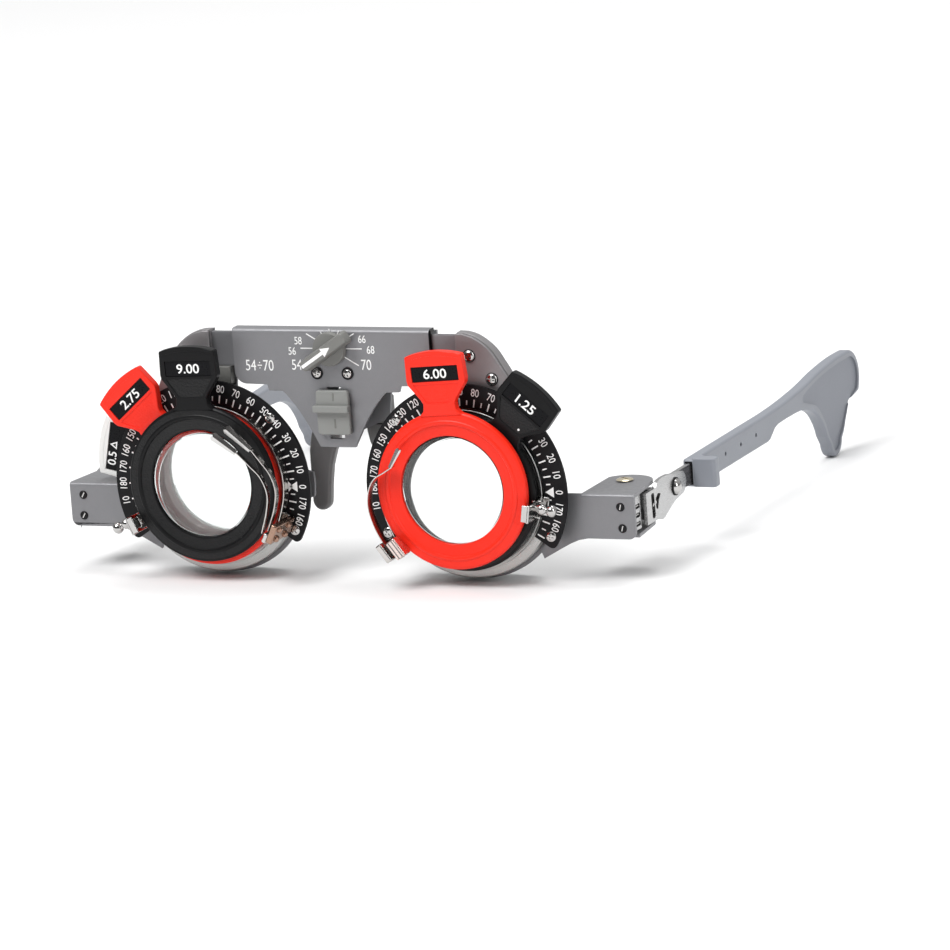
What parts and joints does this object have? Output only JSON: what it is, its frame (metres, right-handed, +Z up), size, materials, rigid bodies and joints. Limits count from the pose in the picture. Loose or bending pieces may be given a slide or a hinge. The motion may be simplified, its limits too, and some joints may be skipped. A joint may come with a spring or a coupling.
{
  "type": "optician trial frame",
  "caption": "Optician's adjustable trial frame: bridge housing with PD knob, two rotating lens cells with axis scales, folding temples and seated trial lenses.",
  "frame": {"origin": "centre of the bridge housing's flat top face", "axes": "+X to the wearer's left, +Y from the front of the frame back along the temples, +Z up"},
  "size_m": [0.1568, 0.1699, 0.0604],
  "materials": {
    "housing_grey": "satin grey paint",
    "slider_grey": "satin",
    "scale_black": "satin black with white printing",
    "black_plastic": "fine grained",
    "red_plastic": "satin",
    "white_plastic": "satin",
    "lens_glass": "polished",
    "aluminium": "turned",
    "chrome": "polished",
    "steel": "brushed",
    "temple_grey": "satin"
  },
  "bodies": {
    "bridge": {"housing": "housing_grey", "rear_plate": "housing_grey", "bridge_screw_l": "chrome", "bridge_screw_r": "chrome"},
    "pd_knob": {"pd_knob": "slider_grey", "pd_pinion": "steel"},
    "nose_rest": {"nose_slider": "slider_grey", "nose_saddle": "housing_grey"},
    "carrier_l": {"slide_rack_l": "housing_grey", "carrier_plate_l": "housing_grey", "scale_plate_l": "scale_black", "rear_cell_l": "steel", "end_piece_l": "housing_grey", "hinge_block_l": "chrome", "hinge_pin_l": "chrome", "corner_screw_l_1": "chrome", "corner_screw_l_2": "chrome", "end_screw_l_1": "steel", "end_screw_l_2": "steel"},
    "rotor_l": {"rotor_ring_l": "aluminium", "claw_l": "chrome", "axis_knob_l": "chrome", "spring_block_l": "chrome", "spring_leaves_l": "chrome"},
    "temple_l": {"hinge_knuckle_l": "steel", "temple_plate_l": "steel", "temple_rivet_l": "chrome"},
    "bar_l": {"temple_bar_l": "steel"},
    "sleeve_l": {"temple_sleeve_l": "temple_grey"},
    "carrier_r": {"slide_rack_r": "housing_grey", "carrier_plate_r": "housing_grey", "scale_plate_r": "scale_black", "rear_cell_r": "steel", "end_piece_r": "housing_grey", "hinge_block_r": "chrome", "hinge_pin_r": "chrome", "corner_screw_r_1": "chrome", "corner_screw_r_2": "chrome", "end_screw_r_1": "steel", "end_screw_r_2": "steel"},
    "rotor_r": {"rotor_ring_r": "aluminium", "claw_r": "chrome", "axis_knob_r": "chrome", "spring_block_r": "chrome", "spring_leaves_r": "chrome"},
    "temple_r": {"hinge_knuckle_r": "steel", "temple_plate_r": "steel", "temple_rivet_r": "chrome"},
    "bar_r": {"temple_bar_r": "steel"},
    "sleeve_r": {"temple_sleeve_r": "temple_grey"},
    "lens_r_front": {"lens_r_front_rim": "black_plastic", "lens_r_front_glass": "lens_glass"},
    "lens_r_middle": {"lens_r_middle_rim": "red_plastic", "lens_r_middle_glass": "lens_glass"},
    "lens_r_rear": {"lens_r_rear_rim": "white_plastic", "lens_r_rear_glass": "lens_glass"},
    "lens_l_front": {"lens_l_front_rim": "red_plastic", "lens_l_front_glass": "lens_glass"},
    "lens_l_middle": {"lens_l_middle_rim": "black_plastic", "lens_l_middle_glass": "lens_glass"}
  },
  "joints": [
    {"name": "pd_knob_turn", "type": "hinge", "parent": "bridge", "child": "pd_knob", "pos_m": [0, -0.0017, -0.0047], "axis": [0, 1, 0], "range_deg": [-180, 60]},
    {"name": "pd_slide_l", "type": "slide", "parent": "bridge", "child": "carrier_l", "axis": [1, 0, 0], "range_m": [-0.006, 0.002]},
    {"name": "pd_slide_r", "type": "slide", "parent": "bridge", "child": "carrier_r", "axis": [-1, 0, 0], "range_m": [-0.006, 0.002]},
    {"name": "nose_height", "type": "slide", "parent": "bridge", "child": "nose_rest", "axis": [0, 0, -1], "range_m": [-0.001, 0.003]},
    {"name": "axis_turn_l", "type": "hinge", "parent": "carrier_l", "child": "rotor_l", "pos_m": [0.033, -0.0017, -0.0379], "axis": [0, -1, 0], "range_deg": [-90, 90]},
    {"name": "temple_fold_l", "type": "hinge", "parent": "carrier_l", "child": "temple_l", "pos_m": [0.0658, 0.0147, -0.0445], "axis": [0, 0, 1], "range_deg": [0, 75]},
    {"name": "temple_tilt_l", "type": "hinge", "parent": "temple_l", "child": "bar_l", "pos_m": [0.072, 0.0267, -0.043], "axis": [1, 0, 0], "range_deg": [-10, 10]},
    {"name": "temple_length_l", "type": "slide", "parent": "bar_l", "child": "sleeve_l", "axis": [0, 1, 0], "range_m": [-0.005, 0.02]},
    {"name": "axis_turn_r", "type": "hinge", "parent": "carrier_r", "child": "rotor_r", "pos_m": [-0.033, -0.0017, -0.0379], "axis": [0, 1, 0], "range_deg": [-90, 90]},
    {"name": "temple_fold_r", "type": "hinge", "parent": "carrier_r", "child": "temple_r", "pos_m": [-0.0658, 0.0147, -0.0445], "axis": [0, 0, 1], "range_deg": [-75, 0]},
    {"name": "temple_tilt_r", "type": "hinge", "parent": "temple_r", "child": "bar_r", "pos_m": [-0.072, 0.0267, -0.043], "axis": [1, 0, 0], "range_deg": [-10, 10]},
    {"name": "temple_length_r", "type": "slide", "parent": "bar_r", "child": "sleeve_r", "axis": [0, 1, 0], "range_m": [-0.005, 0.02]},
    {"name": "lens_r_front_insert", "type": "slide", "parent": "rotor_r", "child": "lens_r_front", "axis": [0, 0, -1], "range_m": [-0.045, 0]},
    {"name": "lens_r_middle_insert", "type": "slide", "parent": "rotor_r", "child": "lens_r_middle", "axis": [0, 0, -1], "range_m": [-0.045, 0], "deforming": ["spring_leaves_r"]},
    {"name": "lens_r_rear_insert", "type": "slide", "parent": "carrier_r", "child": "lens_r_rear", "axis": [0.7071, 0, -0.7071], "range_m": [-0.045, 0]},
    {"name": "lens_l_front_insert", "type": "slide", "parent": "rotor_l", "child": "lens_l_front", "axis": [0, 0, -1], "range_m": [-0.045, 0]},
    {"name": "lens_l_middle_insert", "type": "slide", "parent": "rotor_l", "child": "lens_l_middle", "axis": [0, 0, -1], "range_m": [-0.045, 0], "deforming": ["spring_leaves_l"]}
  ],
  "couplings": [
    {"joint": "pd_slide_r", "follows": "pd_slide_l", "ratio": 1},
    {"joint": "pd_knob_turn", "follows": "pd_slide_l", "rad_per_m": 523.59}
  ]
}
